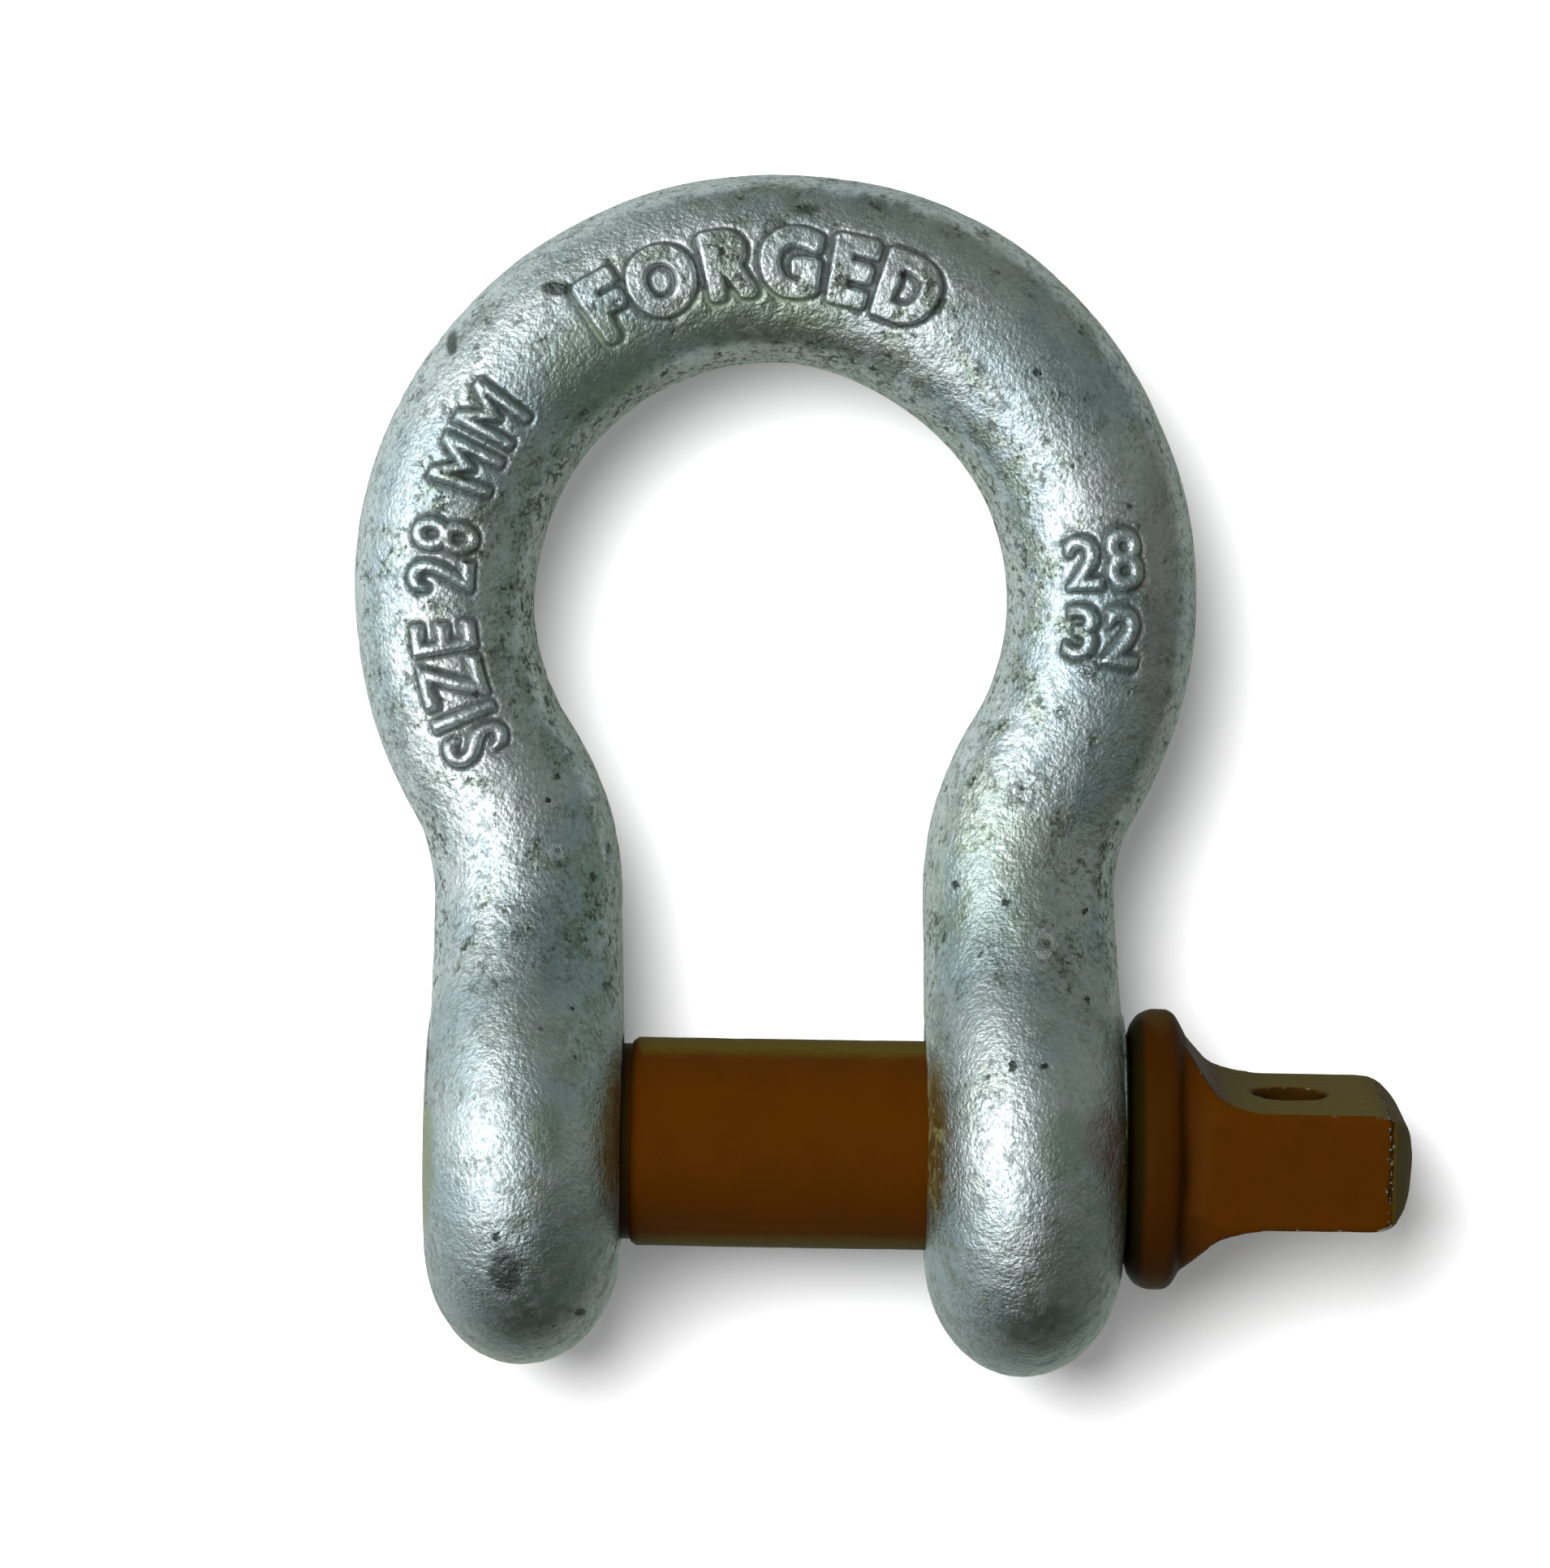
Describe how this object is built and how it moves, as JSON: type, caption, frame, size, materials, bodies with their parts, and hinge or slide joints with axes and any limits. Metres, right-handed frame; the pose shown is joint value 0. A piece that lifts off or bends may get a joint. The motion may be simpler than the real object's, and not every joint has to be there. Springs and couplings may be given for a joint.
{
  "type": "screw pin bow shackle",
  "caption": "Galvanised screw pin bow shackle with a brown painted pin that unscrews by its flat tang and draws out.",
  "frame": {"origin": "on the pin's axis, midway between the two ears", "axes": "+X along the pin towards its collar and tang, +Z towards the crown of the bow, +Y away from the viewer of the lettered side"},
  "size_m": [0.1634, 0.0704, 0.1838],
  "materials": {
    "galvanised": "hot-dip galvanised, satin, mottled",
    "pin_paint": "dark orange-brown paint, chipped at the edges"
  },
  "bodies": {
    "bow": {"bow": "galvanised"},
    "screw_pin": {"screw_pin": "pin_paint"}
  },
  "joints": [
    {"name": "pin_draw", "type": "slide", "parent": "bow", "child": "screw_pin", "axis": [1, 0, 0], "range_m": [0, 0.11]}
  ]
}
